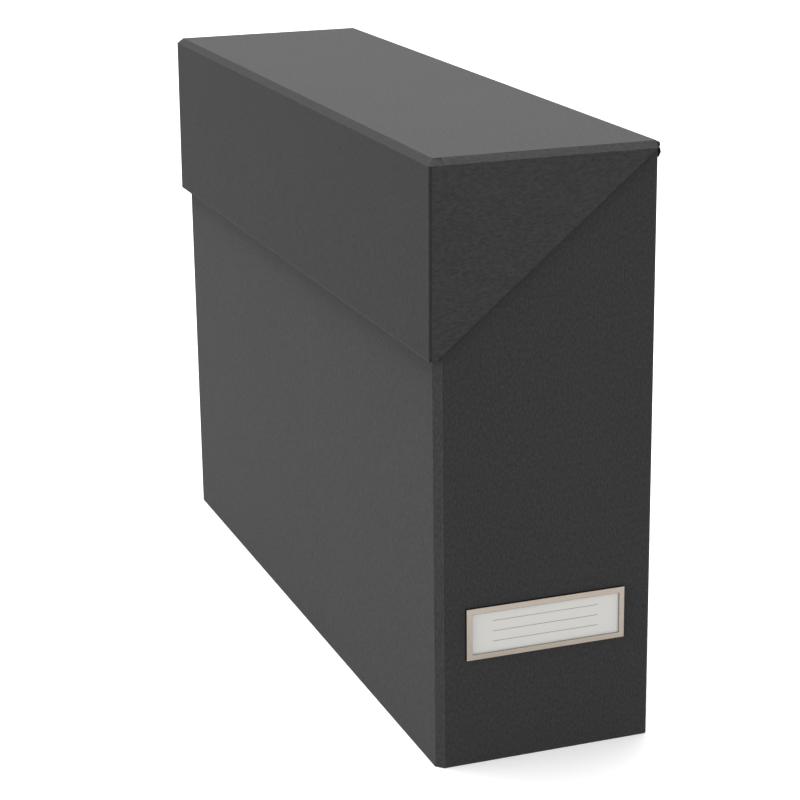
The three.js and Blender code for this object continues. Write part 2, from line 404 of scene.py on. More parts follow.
class Recipe:
    """The node tree of a material or a world, filled in a few words a node."""

    def __init__(self, owner: bpy.types.Material | bpy.types.World) -> None:
        """Empties the owner's tree.

        Args:
            owner: The material or the world.
        """
        owner.use_nodes = True
        self.owner, self.tree = owner, owner.node_tree
        self.tree.nodes.clear()

    def node(self, kind: str, settings: dict | None = None, **inputs: object) -> bpy.types.Node:
        """Adds a node.

        Args:
            kind: The node's type, without "ShaderNode".
            settings: The node's own settings.
            **inputs: Values or output sockets for its inputs, by name, with "_" for a space.

        Returns:
            The new node.
        """
        made = self.tree.nodes.new("ShaderNode" + kind)
        for key, value in (settings or {}).items():
            setattr(made, key, value)
        for key, value in inputs.items():
            self.feed(made.inputs[key.replace("_", " ")], value)
        return made

    def feed(self, socket: bpy.types.NodeSocket, value: object) -> None:
        """Gives a socket a value, or links it to another node's output.

        Args:
            socket: The input socket.
            value: A number, a tuple or an output socket.
        """
        if isinstance(value, bpy.types.NodeSocket):
            self.tree.links.new(value, socket)
        else:
            socket.default_value = value

    def math(self, operation: str, *values: object, clamp: bool = False) -> bpy.types.NodeSocket:
        """Works out one number from others.

        Args:
            operation: The Math node's operation.
            *values: Numbers or output sockets.
            clamp: Whether the result is held between 0 and 1.

        Returns:
            The result's socket.
        """
        made = self.node("Math", {"operation": operation, "use_clamp": clamp})
        for socket, value in zip(made.inputs, values):
            self.feed(socket, value)
        return made.outputs[0]

    def noise(self, vector: bpy.types.NodeSocket, scale: float, detail: float) -> bpy.types.NodeSocket:
        """Noise between about 0 and 1, of a scale and a number of octaves."""
        made = self.node("TexNoise", {"normalize": True}, Vector=vector, Scale=scale, Detail=detail)
        return made.outputs["Fac"]

    def varied(self, shade: object, *changes: tuple[bpy.types.NodeSocket, float]) -> bpy.types.NodeSocket:
        """A shade with noises added to it, each with its middle at 0 and its own strength."""
        for noise, strength in changes:
            shade = self.math("MULTIPLY_ADD", self.math("SUBTRACT", noise, 0.5), strength, shade)
        return shade

    def ramp(self, value: object, *ranges: float) -> bpy.types.NodeSocket:
        """Maps a value from a range to another, given as low, high, low and high, held at both ends."""
        made = self.node("MapRange")
        for socket, number in zip(made.inputs, (value, *ranges)):
            self.feed(socket, number)
        return made.outputs[0]

    def tinted(self, colour: tuple[float, float, float], factor: object) -> bpy.types.NodeSocket:
        """A colour made lighter or darker.

        Args:
            colour: The colour, linear.
            factor: What it is multiplied by.

        Returns:
            The colour's socket.
        """
        made = self.node("VectorMath", {"operation": "SCALE"}, Scale=factor)
        made.inputs[0].default_value = colour
        return made.outputs[0]

    def close(self, bump: bpy.types.NodeSocket | None, depth: float, **inputs: object) -> bpy.types.Material:
        """Adds the surface and the output, and gives the finished material.

        Args:
            bump: The height, or None.
            depth: The height's full depth in metres.
            **inputs: Values or sockets for the surface's inputs.

        Returns:
            The material.
        """
        surface = self.node("BsdfPrincipled", **inputs)
        if bump is not None:
            relief = self.node("Bump", Strength=1.0, Distance=depth, Height=bump)
            self.feed(surface.inputs["Normal"], relief.outputs[0])
        self.node("OutputMaterial", Surface=surface.outputs[0])
        return self.owner


@dataclass(frozen=True)
class CoverPaper:
    """Matt dyed paper with a fine felt-marked grain, as glued over the board.

    The grain runs up the upright faces and across the level ones, and across the short ends too
    where level_ends is set. The two facing factors are painted shade: how light the faces that look
    along X and Y are beside the level ones, for how the light falls on those sides.
    """

    name: str
    shade: float
    warmth: float = 0.0
    nap_x: float = 1.0
    nap_y: float = 1.0
    grain: float = 0.46
    felt_scale: float = 1300.0
    tooth_scale: float = 2200.0
    cloud_scale: float = 28.0
    fleck_scale: float = 900.0
    relief: float = 0.05 * MM
    roughness: float = 0.85
    level_ends: bool = False
    wear: float = 0.45

    def material(self) -> bpy.types.Material:
        """Makes the paper's material."""
        r = Recipe(bpy.data.materials.new(self.name))
        place = r.node("TexCoord")
        position, normal = place.outputs["Object"], place.outputs["Normal"]
        axes = r.node("SeparateXYZ", Vector=normal).outputs
        upright = r.node("Mapping", Vector=position, Scale=(1.0, 1.0, 0.45)).outputs[0]
        level = r.node("Mapping", Vector=position, Scale=(0.4, 1.0, 1.0)).outputs[0]
        turned = axes["X"] if self.level_ends else axes["Z"]
        mask = r.math("GREATER_THAN", r.math("ABSOLUTE", turned), 0.5)
        if self.level_ends:
            mask = r.math("SUBTRACT", 1.0, mask)
        mixed = r.node("Mix", {"data_type": "VECTOR"}, Factor=mask)
        r.feed(mixed.inputs[4], upright)
        r.feed(mixed.inputs[5], level)
        fibres = mixed.outputs[1]

        felt = r.noise(fibres, self.felt_scale, 3.0)
        tooth = r.noise(position, self.tooth_scale, 2.0)
        cloud = r.noise(position, self.cloud_scale, 3.0)
        fleck = r.ramp(r.noise(fibres, self.fleck_scale, 1.0), 0.68, 0.8, 0.0, 1.0)

        shade = r.varied(1.0, (felt, 2 * self.grain), (tooth, self.grain), (cloud, 0.1))
        shade = r.math("MULTIPLY_ADD", fleck, 0.07, shade)
        # Lighter rounded edges: partly real rubbing, partly a painted highlight.
        worn_and_lit = r.node("Attribute", {"attribute_name": "edge_wear"}).outputs["Fac"]
        edge_lightening = r.math("MULTIPLY", worn_and_lit, r.ramp(r.noise(position, 300.0, 3.0), 0.35, 0.7, 0.3, 1.0))
        shade = r.math("MULTIPLY_ADD", edge_lightening, self.wear, shade)
        # Painted shade on the folds, grooves, pleats and bevelled corners that carry a fold factor.
        painted_fold_shade = r.node("Attribute", {"attribute_name": "fold"}).outputs["Fac"]
        shade = r.math("MULTIPLY", shade, r.math("SUBTRACT", 1.0, painted_fold_shade))
        # Painted shade: faces that look along X or Y are darkened by their facing factor, for how the light falls
        # on those sides.
        for axis, painted_shade in (("X", self.nap_x), ("Y", self.nap_y)):
            square = r.math("MULTIPLY", axes[axis], axes[axis])
            shade = r.math("MULTIPLY", shade, r.math("MULTIPLY_ADD", square, painted_shade - 1.0, 1.0))

        colour = (self.shade * (1 + self.warmth), self.shade, self.shade * (1 - self.warmth))
        height = r.math("MULTIPLY_ADD", tooth, 0.4, felt)
        return r.close(
            height,
            self.relief,
            Base_Color=r.tinted(colour, shade),
            Roughness=self.roughness,
            Specular_IOR_Level=0.12,
        )


@dataclass(frozen=True)
class PlatedSteel:
    """Thin plate over pressed steel, with fine brush marks and a few rubbed places."""

    name: str
    colour: tuple[float, float, float]
    roughness: float
    brushed_along: str = "X"

    def material(self) -> bpy.types.Material:
        """Makes the plate's material."""
        r = Recipe(bpy.data.materials.new(self.name))
        position = r.node("TexCoord").outputs["Object"]
        stretch = (0.02, 1.0, 1.0) if self.brushed_along == "X" else (1.0, 1.0, 0.02)
        brush = r.noise(r.node("Mapping", Vector=position, Scale=stretch).outputs[0], 5200.0, 2.0)
        cloud = r.noise(position, 160.0, 3.0)
        shade = r.varied(1.0, (brush, 0.1), (cloud, 0.12))
        # Painted shade: the frame's skirt and inner return are darkened nearly to black, as the shadowed gap
        # against the wall.
        painted_gap_shade = r.node("Attribute", {"attribute_name": "painted_gap_shade"}).outputs["Fac"]
        shade = r.math("MULTIPLY", shade, r.math("MULTIPLY_ADD", painted_gap_shade, -0.94, 1.0))
        rough = r.varied(self.roughness, (cloud, 0.16))
        return r.close(
            brush,
            0.004 * MM,
            Base_Color=r.tinted(self.colour, shade),
            Roughness=rough,
            Metallic=1.0,
        )


@dataclass(frozen=True)
class RuledCard:
    """Off-white card with plain printed rules for a name."""

    name: str
    centre: Vector
    rule_pitch: float = 4.4 * MM
    rule_width: float = 0.24 * MM
    rule_half_length: float = 23.0 * MM
    rules: int = 3

    def material(self) -> bpy.types.Material:
        """Makes the card's material."""
        r = Recipe(bpy.data.materials.new(self.name))
        position = r.node("TexCoord").outputs["Object"]
        centred = r.node("Mapping", {"vector_type": "POINT"}, Vector=position, Location=-self.centre)
        axes = r.node("SeparateXYZ", Vector=centred.outputs[0]).outputs
        up = r.math("ABSOLUTE", axes["Z"])
        rules_reach = (self.rules / 2) * self.rule_pitch
        half = self.rule_pitch / 2
        # An odd number of rules has one on the centre line, so the distance to a rule is a ping-pong.
        off_rule = r.math("PINGPONG", axes["Z"], half)
        ink = r.ramp(off_rule, self.rule_width * 0.4, self.rule_width * 0.6, 1.0, 0.0)
        ink = r.math("MULTIPLY", ink, r.math("LESS_THAN", up, rules_reach))
        inside = r.math("LESS_THAN", r.math("ABSOLUTE", axes["X"]), self.rule_half_length)
        ink = r.math("MULTIPLY", ink, inside)
        fibre = r.noise(position, 1400.0, 3.0)
        shade = r.varied(1.0, (fibre, 0.05))
        shade = r.math("MULTIPLY", shade, r.math("MULTIPLY_ADD", ink, -0.72, 1.0))
        return r.close(
            fibre,
            0.01 * MM,
            Base_Color=r.tinted((0.87, 0.86, 0.82), shade),
            Roughness=0.45,
            Specular_IOR_Level=0.5,
        )


@dataclass(frozen=True)
class Finishes:
    """The finishes of the box, each made once."""

    wall_paper: bpy.types.Material
    lid_paper: bpy.types.Material
    lining: bpy.types.Material
    hinge_paper: bpy.types.Material
    nickel: bpy.types.Material
    zinc: bpy.types.Material
    card: bpy.types.Material

    @classmethod
    def make(cls, card_centre: Vector) -> "Finishes":
        """Makes every finish.

        Args:
            card_centre: The middle of the name card's front.

        Returns:
            The finishes.
        """
        return cls(
            # The facing factors below are painted shade on the sides that look along X and Y.
            wall_paper=CoverPaper("wall_cover_paper", shade=0.062, nap_y=0.77).material(),
            lid_paper=CoverPaper(
                "lid_cover_paper", shade=0.062, nap_x=0.77, nap_y=0.86, level_ends=True
            ).material(),
            lining=CoverPaper("lining_paper", shade=0.045, grain=0.12, wear=0.0).material(),
            hinge_paper=CoverPaper("hinge_cover_paper", shade=0.055, wear=0.05).material(),
            nickel=PlatedSteel("frame_nickel_plate", (0.3, 0.26, 0.222), 0.36).material(),
            zinc=PlatedSteel("rail_zinc_plate", (0.6, 0.61, 0.62), 0.34).material(),
            card=RuledCard("ruled_card", card_centre).material(),
        )


def dress(
    piece: bpy.types.Object,
    material: bpy.types.Material,
    body: Body | None,
    replaces: tuple[str, ...] = (),
) -> None:
    """Gives a finished piece its material, its body and the nodes that it stands for.

    Args:
        piece: The finished object.
        material: Its material.
        body: The body that it rides on, or None to leave it on neither body.
        replaces: The CAD nodes that it stands for.
    """
    piece.data.materials.clear()
    piece.data.materials.append(material)
    if body is not None:
        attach(piece, body.value)
    if replaces:
        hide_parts(*replaces)
    size = " x ".join(f"{side / MM:.1f}" for side in piece.dimensions)
    LOG.info("%s: %d faces, %s mm", piece.name, len(piece.data.polygons), size)


# The box


@dataclass
class Carcass:
    """The walls, the base and their lining."""

    low: Vector
    high: Vector
    base_low: Vector
    base_high: Vector
    turn_in: float = 14.0 * MM
    turn_in_sheet: float = 0.12 * MM
    lining_sheet: float = 0.26 * MM
    sheet_clearance: float = 0.02 * MM
    rim_radius: float = 0.8 * MM
    hinge_corner: float = 0.35
    corner_painted_shade: float = 0.12
    base_paper_margin: float = 4.0 * MM
    base_lining_inset: float = 0.4 * MM

    def tube(self, name: str, low: Vector, high: Vector, bevel: float) -> bpy.types.Object:
        """An open tube with rounded upright corners, tighter at the hinge than under the flap.

        Args:
            name: The piece's name.
            low: The lowest corner of its outside.
            high: The highest corner.
            bevel: How far each corner under the flap is cut back.

        Returns:
            The tube, as a shell with no thickness.
        """
        piece = block(name, low, high)
        with editing(piece):
            pick(piece, "FACE", lambda face: abs(face.normal.z) > 0.9)
            bpy.ops.mesh.delete(type="FACE")
            for side, cut in ((low.x, bevel), (high.x, bevel * self.hinge_corner)):
                pick(piece, "EDGE", lambda edge: edge_stands(edge) and near(edge.verts[0].co.x, side))
                bpy.ops.mesh.bevel(offset=cut, segments=1, affect="EDGES")
        return piece

    def walls(self) -> bpy.types.Object:
        """The folded wall strip."""
        piece = self.tube("wall_strip", self.low, self.high, WALL_BEVEL)
        thicken(piece, BOARD)
        soften(piece, EDGE_RADIUS)
        # Painted shade on the bevelled upright corners.
        corner = lambda face: abs(face.normal.x) > 0.4 and abs(face.normal.y) > 0.4
        mark(piece, "fold", [(corner, self.corner_painted_shade)])
        return piece

    def inner_bevel(self, sheet: float) -> float:
        """The bevel of a tube that lies inside the walls, a sheet's depth in."""
        return WALL_BEVEL - (BOARD + sheet) * (2 - math.sqrt(2))

    def inner_tube(self, name: str, low_z: float, high_z: float, sheet: float) -> bpy.types.Object:
        """A sheet of paper round the inside of the walls.

        Args:
            name: The piece's name.
            low_z: Its lower edge.
            high_z: Its upper edge.
            sheet: Its thickness.

        Returns:
            The sheet.
        """
        inset = Vector((BOARD + self.sheet_clearance, BOARD + self.sheet_clearance, 0))
        low, high = self.low + inset, self.high - inset
        low.z, high.z = low_z, high_z
        piece = self.tube(name, low, high, self.inner_bevel(self.sheet_clearance))
        thicken(piece, sheet)
        soften(piece, sheet / 3, 2)
        return piece

    def base(self) -> bpy.types.Object:
        """The base panel, with the edge of its paper sheet standing in from the board's edge."""
        piece = block("base_board", self.base_low, self.base_high)
        with editing(piece):
            pick(piece, "FACE", facing("z", -1))
            bpy.ops.mesh.inset(thickness=self.base_paper_margin)
            bpy.ops.mesh.extrude_region_move(TRANSFORM_OT_translate={"value": (0, 0, self.turn_in_sheet)})
        soften(piece, 0.1 * MM, 2)
        return piece

    def base_lining(self) -> bpy.types.Object:
        """The lining sheet on the base."""
        inset = Vector((self.base_lining_inset, self.base_lining_inset, 0))
        low, high = self.base_low + inset, self.base_high - inset
        low.z = self.base_high.z + self.sheet_clearance
        high.z = low.z + self.lining_sheet
        piece = block("base_lining", low, high)
        soften(piece, 0.08 * MM, 2)
        return piece

    def build(self, finishes: Finishes) -> None:
        """Makes and dresses every piece of the box.

        Args:
            finishes: The finishes.
        """
        paper, lining = finishes.wall_paper, finishes.lining
        dress(self.walls(), paper, Body.BOX, ("body_walls",))
        top = self.high.z - self.turn_in
        turn_in = self.inner_tube("wall_turn_in", top, self.high.z - self.rim_radius, self.turn_in_sheet)
        dress(turn_in, paper, Body.BOX)
        sheet = self.inner_tube("wall_lining", self.base_high.z, top, self.lining_sheet)
        dress(sheet, lining, Body.BOX)
        dress(self.base(), paper, Body.BOX, ("base_panel",))
        dress(self.base_lining(), lining, Body.BOX)


# The lid


@dataclass
class Lid:
    """The folded lid blank and its lining.

    Each pleat has its place behind the flap, its lean and its width, and each fold factor is how
    much darker a fold is painted: painted shade in the creases and on the bevels. A face bent by more than
    flat_within is split.
    """

    low: Vector
    high: Vector
    foot: float = 3.2 * MM
    groove: float = 1.0 * MM
    groove_depth: float = 0.3 * MM
    pleats: tuple[tuple[float, float, float], ...] = (
        (3.6 * MM, 0.25, 0.5 * MM),
        (4.6 * MM, 0.5, 0.6 * MM),
        (5.9 * MM, 0.3, 0.5 * MM),
    )
    flat_within: float = math.radians(0.5)
    groove_painted_shade: float = 0.25
    flap_fold_painted_shade: float = 0.3
    cheek_fold_painted_shade: float = 0.14
    pleat_painted_shade: float = 0.42
    edge_lightening: float = 0.4 * MM
    turn_in: float = 12.0 * MM
    lining_sheet: float = 0.26 * MM
    sheet_clearance: float = 0.02 * MM

    @property
    def front(self) -> float:
        """The flap's face at its fold."""
        return self.low.x + FLAP_SPLAY

    def wedge(
        self, name: str, inset: float, bevel: float, foot: Vector, heel: Vector, filled: bool
    ) -> bpy.types.Object:
        """A solid of the lid's outside, or of its inside, cut off along the cheeks' slope.

        Args:
            name: The piece's name.
            inset: How far it lies inside the lid's faces.
            bevel: The bevel along its three folded top edges, or 0.
            foot: Where the slope starts, behind the flap's lower edge.
            heel: Where the slope ends at the hinge.
            filled: Whether the sloping cut is closed with a face.

        Returns:
            The wedge.
        """
        low = Vector((self.front + inset, self.low.y + inset, self.low.z))
        high = Vector((self.high.x, self.high.y - inset, self.high.z - inset))
        piece = block(name, low, high)
        slope = heel - foot
        with editing(piece):
            pick(piece, "VERT", lambda v: near(v.co.x, low.x) and near(v.co.z, low.z))
            bpy.ops.transform.translate(value=(-FLAP_SPLAY, 0, 0))
            if bevel:
                pick(piece, "EDGE", edge_at(lambda p: near(p.z, high.z)))
                for edge in bmesh.from_edit_mesh(piece.data).edges:
                    if all(near(v.co.x, high.x) for v in edge.verts):
                        edge.select_set(False)
                bpy.ops.mesh.bevel(offset=bevel, segments=1, affect="EDGES")
            bpy.ops.mesh.select_mode(type="FACE")
            bpy.ops.mesh.select_all(action="SELECT")
            bpy.ops.mesh.bisect(
                plane_co=foot,
                plane_no=(slope.z, 0, -slope.x),
                use_fill=filled,
                clear_outer=True,
                threshold=1e-7,
            )
        return piece

    def shell(self) -> bpy.types.Object:
        """The lid's board in its paper."""
        foot = Vector((self.low.x + self.foot, 0, self.low.z))
        heel = Vector((self.high.x, 0, self.high.z - LID_BEVEL))
        piece = self.wedge("lid_board", 0.0, LID_BEVEL, foot, heel, True)
        low = Vector((self.front + BOARD, self.low.y + BOARD, self.low.z - BOARD))
        high = Vector((self.high.x + BOARD, self.high.y - BOARD, self.high.z - BOARD))
        hollow = block("lid_hollow", low, high)
        with editing(hollow):
            pick(hollow, "VERT", lambda v: near(v.co.x, low.x) and near(v.co.z, low.z))
            bpy.ops.transform.translate(value=(-FLAP_SPLAY, 0, 0))
        modify(piece, "BOOLEAN", operation="DIFFERENCE", object=hollow, solver="EXACT")
        bpy.data.objects.remove(hollow)
        round_edges(piece, EDGE_RADIUS)
        for end in End:
            self.press_corner(piece, end)
        with editing(piece):
            bpy.ops.mesh.select_all(action="SELECT")
            bpy.ops.mesh.vert_connect_nonplanar(angle_limit=self.flat_within)
        # Painted highlight: a band along the flap's lower edge is split off and lightened, as if lit from the floor
        # below.
        lightened_to = self.low.z + EDGE_RADIUS + self.edge_lightening
        with editing(piece):
            on_flap = lambda face: face.normal.x < -0.99 and face.calc_center_median().x < self.front
            pick(piece, "FACE", on_flap)
            bpy.ops.mesh.bisect(plane_co=(0, 0, lightened_to), plane_no=(0, 0, 1))
        smooth(piece)
        # Painted highlight on the band along the flap's lower edge.
        mark(piece, "edge_wear", [(lambda face: face.normal.x < -0.5 and face.center.z < lightened_to, 1.0)])
        # Painted shade on the groove beside each corner, on the front and cheek folds, and on the pleats.
        flap_fold = lambda face: face.normal.x < -0.3 and face.normal.z > 0.3
        cheek_fold = lambda face: abs(face.normal.y) > 0.3 and face.normal.z > 0.3
        creased = lambda face: abs(face.normal.y) > 0.8 and 0.05 < abs(face.normal.x)
        pleat = lambda face: cheek_fold(face) and abs(face.normal.x) > 0.12
        folds = [
            (creased, self.groove_painted_shade),
            (flap_fold, self.flap_fold_painted_shade),
            (cheek_fold, self.cheek_fold_painted_shade),
            (pleat, self.pleat_painted_shade),
        ]
        mark(piece, "fold", folds)
        return piece

    def press_corner(self, piece: bpy.types.Object, end: End) -> None:
        """Presses the groove beside a corner of the flap, and the pleats of the paper over it.

        Args:
            piece: The lid's board.
            end: The end of the lid.
        """
        face_y = self.low.y if end is End.NEAR else self.high.y
        outside = lambda face: face.normal.y * end.value > 0.99 and near(face.calc_center_median().y, face_y)
        fall = self.high.z - LID_BEVEL - self.low.z
        point = Vector((self.low.x + EDGE_RADIUS + self.groove / 2, face_y, self.low.z))
        across = Vector((fall, 0, -FLAP_SPLAY))
        inwards = Vector((0, -end.value * self.groove_depth, 0))
        press_line(piece, outside, point, across, self.groove, inwards)
        bevel = lambda face: face.normal.y * end.value > 0.6 and face.normal.z > 0.6
        inwards = Vector((0, -end.value, -1)) * self.groove_depth
        for place, lean, width in self.pleats:
            point = Vector((self.front + place, face_y, self.high.z))
            press_line(piece, bevel, point, Vector((1, 0, lean)), width, inwards)

    def lining(self) -> bpy.types.Object:
        """The lining sheet, which stops short of the edges and leaves the turned-in paper bare."""
        inset = BOARD + self.sheet_clearance
        slope = Vector((self.high.x - self.low.x, 0, self.high.z - self.low.z)).normalized()
        lift = Vector((-slope.z, 0, slope.x)) * self.turn_in
        foot = Vector((self.low.x, 0, self.low.z)) + lift
        piece = self.wedge("lid_lining", inset, 0.0, foot, foot + slope, False)
        with editing(piece):
            pick(piece, "FACE", lambda face: face.normal.x > 0.9 or face.normal.z < -0.9)
            bpy.ops.mesh.delete(type="FACE")
            bpy.ops.mesh.select_all(action="SELECT")
            bpy.ops.mesh.bisect(
                plane_co=(self.high.x - self.turn_in, 0, 0),
                plane_no=(1, 0, 0),
                clear_outer=True,
            )
            bpy.ops.mesh.select_all(action="SELECT")
            bpy.ops.mesh.bisect(
                plane_co=(0, 0, self.low.z + self.turn_in), plane_no=(0, 0, -1), clear_outer=True
            )
        thicken(piece, self.lining_sheet)
        soften(piece, self.lining_sheet / 3, 2)
        return piece

    def build(self, finishes: Finishes) -> None:
        """Makes and dresses the lid's pieces.

        Args:
            finishes: The finishes.
        """
        dress(self.shell(), finishes.lid_paper, Body.LID, ("lid",))
        dress(self.lining(), finishes.lining, Body.LID)


@dataclass
class PaperHinge:
    """The covering paper that runs down the lid's back edge, over the crease and down the wall."""

    wall_face: float
    lid_back: float
    lid_top: float
    rim: float
    low: Vector
    high: Vector
    lid_reach: float
    pleat_reach: float
    wall_reach: float
    wall_gap: float = 0.06 * MM
    lid_gap: float = 0.02 * MM
    pleat_foot: float = 4.2 * MM
    pleat_nose: float = 2.1 * MM
    slack: float = 0.5 * MM
    rows: int = 60
    steps: int = 26

    def section(self) -> list[Vector]:
        """The section from the strip's lower edge, over the pleat, to the lid's top edge."""
        face = self.wall_face + PAPER / 2 + self.wall_gap
        tip = self.high.x - PAPER / 2 - self.lid_gap
        pleat_low, pleat_tip = self.rim - self.pleat_foot, self.rim - self.pleat_nose
        lid_foot = Vector((self.lid_back + PAPER / 2 + self.slack, self.lid_top - BOARD))
        lid_head = Vector((self.lid_back + PAPER / 2 + self.lid_gap, self.lid_top - 0.35 * MM))
        guide = [
            Vector((face, self.low.z)),
            Vector((face, pleat_low - 6.0 * MM)),
            Vector((face, pleat_low)),
            Vector((tip, pleat_tip)),
            Vector((face - 0.1 * MM, self.rim + 0.3 * MM)),
            lid_foot,
            lid_head,
        ]
        return smooth_line(guide, self.steps)

    def build(self, finishes: Finishes) -> None:
        """Makes the strip and bends it between the walls and the lid.

        Args:
            finishes: The finishes.
        """
        start = Vector((0, -self.wall_reach, 0))
        run = Vector((0, 2 * self.wall_reach, 0))
        piece = drawn_sheet("hinge_paper", self.section(), start, run, PAPER, self.rows)
        with editing(piece, "VERT"):
            for side in (-1, 1):
                reaches = ((self.rim - 4 * MM, self.pleat_reach), (self.rim + 0.8 * MM, self.lid_reach))
                for above, reach in reaches:
                    beyond = self.wall_reach - 0.01 * MM
                    pick(piece, "VERT", lambda v: v.co.y * side > beyond and v.co.z > above)
                    bpy.ops.transform.resize(value=(1, 0, 1), center_override=(0, side * reach, 0))
        choose(piece)
        bpy.ops.object.shade_smooth_by_angle(angle=math.radians(35))
        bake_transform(piece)
        dress(piece, finishes.hinge_paper, None, ("hinge_strip",))


def smooth_line(guide: list[Vector], steps: int) -> list[Vector]:
    """An even curve through guide points.

    Args:
        guide: The points that it passes through.
        steps: The number of its stretches.

    Returns:
        The curve's points.
    """
    ends = [guide[0] * 2 - guide[1], *guide, guide[-1] * 2 - guide[-2]]
    spans = len(guide) - 1
    line = []
    for step in range(steps + 1):
        along = min(spans * step / steps, spans - 1e-9)
        first = int(along)
        t = along - first
        a, b, c, d = ends[first : first + 4]
        bend = (b * 2 + (c - a) * t + (a * 2 - b * 5 + c * 4 - d) * t**2 + (b * 3 - a - c * 3 + d) * t**3) / 2
        line.append(bend)
    return line


# The name card


@dataclass
class CardFrame:
    """The pressed frame, with its prongs folded flat inside the wall."""

    low: Vector
    high: Vector
    wall_outside: float
    wall_inside: float
    border: float = 2.4 * MM
    sheet: float = 0.6 * MM
    wall_gap: float = 0.25 * MM
    crown: float = 0.22 * MM
    return_lip: float = 0.5 * MM
    prong_width: float = 2.4 * MM
    prong_reach: float = 4.5 * MM
    prong_spread: float = 9.0 * MM
    prong_taper: float = 0.45

    def border_ring(self) -> bpy.types.Object:
        """The crowned border with its skirt and its turned-in window edge."""
        front = self.low.y
        clear_selection()
        centre = Vector(((self.low.x + self.high.x) / 2, front + self.crown, (self.low.z + self.high.z) / 2))
        bpy.ops.mesh.primitive_plane_add(size=1.0, location=centre, rotation=(math.pi / 2, 0, 0))
        piece = bpy.context.object
        piece.scale = (self.high.x - self.low.x, self.high.z - self.low.z, 1)
        settle(piece)
        back = self.wall_outside - self.wall_gap - front - self.crown
        with editing(piece):
            bpy.ops.mesh.select_all(action="SELECT")
            bpy.ops.mesh.inset(thickness=self.border)
            bpy.ops.transform.translate(value=(0, -self.crown, 0))
            bpy.ops.mesh.delete(type="FACE")
            window = lambda p: self.low.x + self.border / 2 < p.x < self.high.x - self.border / 2
            pick(piece, "EDGE", edge_at(lambda p: window(p) and p.y < front + self.crown / 2))
            bpy.ops.mesh.extrude_edges_move(TRANSFORM_OT_translate={"value": (0, self.return_lip, 0)})
            outer = lambda p: near(p.y, front + self.crown) and not window(p)
            pick(piece, "EDGE", edge_at(outer))
            for edge in bmesh.from_edit_mesh(piece.data).edges:
                if edge.select and len(edge.link_faces) > 1:
                    edge.select_set(False)
            bpy.ops.mesh.extrude_edges_move(TRANSFORM_OT_translate={"value": (0, back, 0)})
            bpy.ops.mesh.select_all(action="SELECT")
            bpy.ops.mesh.normals_make_consistent(inside=False)
        return piece

    def prongs(self) -> list[bpy.types.Object]:
        """The four prongs, folded towards the middle inside the wall."""
        made = []
        centre = (self.low + self.high) / 2
        for side in (-1, 1):
            for level in (-1, 1):
                root = centre.x + side * (self.high.x - self.low.x - self.sheet) / 2
                tip = root - side * self.prong_reach
                z = centre.z + level * self.prong_spread / 2
                half = Vector((0, 0, self.prong_width / 2))
                low = Vector((min(root, tip), self.wall_inside, z)) - half
                high = Vector((max(root, tip), self.wall_inside + self.sheet, z)) + half
                prong = block("prong", low, high)
                with editing(prong):
                    pick(prong, "VERT", lambda v: near(v.co.x, tip))
                    bpy.ops.transform.resize(value=(1, 1, self.prong_taper), center_override=(tip, low.y, z))
                made.append(prong)
        return made

    def build(self, finishes: Finishes) -> None:
        """Makes the frame with its prongs.

        Args:
            finishes: The finishes.
        """
        ring = self.border_ring()
        thicken(ring, self.sheet, -1.0)
        piece = joined("card_frame", [ring, *self.prongs()])
        soften(piece, 0.18 * MM, 3)
        # Painted shade on the faces that turn away from the front: the skirt, the window's return and the prongs.
        mark(piece, "painted_gap_shade", [(lambda face: face.normal.y > -0.6, 1.0)])
        dress(piece, finishes.nickel, Body.BOX, ("label_frame",))


@dataclass
class NameCard:
    """The card behind the frame."""

    low: Vector
    high: Vector

    def build(self, finishes: Finishes) -> None:
        """Makes the card.

        Args:
            finishes: The finishes.
        """
        piece = block("name_card", self.low, self.high)
        soften(piece, 0.1 * MM, 2)
        dress(piece, finishes.card, Body.BOX, ("label_card",))


# The hook rails


